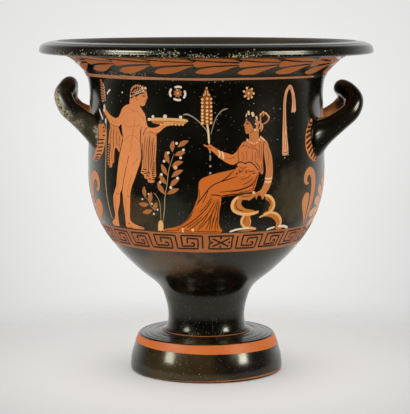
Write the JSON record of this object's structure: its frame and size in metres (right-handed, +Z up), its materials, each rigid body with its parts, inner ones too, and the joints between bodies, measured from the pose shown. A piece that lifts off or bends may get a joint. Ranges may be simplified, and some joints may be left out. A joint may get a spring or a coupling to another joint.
{
  "type": "bell krater",
  "caption": "Footed ceramic mixing bowl with a flaring lip and upturned loop handles, painted in reserved clay on black gloss.",
  "frame": {"origin": "middle of the flat ring under the foot", "axes": "+Z up out of the mouth, the two handles along -X and +X, the main picture facing -Y"},
  "size_m": [0.332, 0.332, 0.3312],
  "materials": {
    "black_gloss": "semi-gloss black slip, fired, worn at the edges",
    "bare_clay": "smooth orange fired clay with a faint sheen",
    "added_white": "matt cream and pale yellow slip, slightly raised"
  },
  "bodies": {
    "root": {"krater": "black_gloss"}
  },
  "joints": []
}
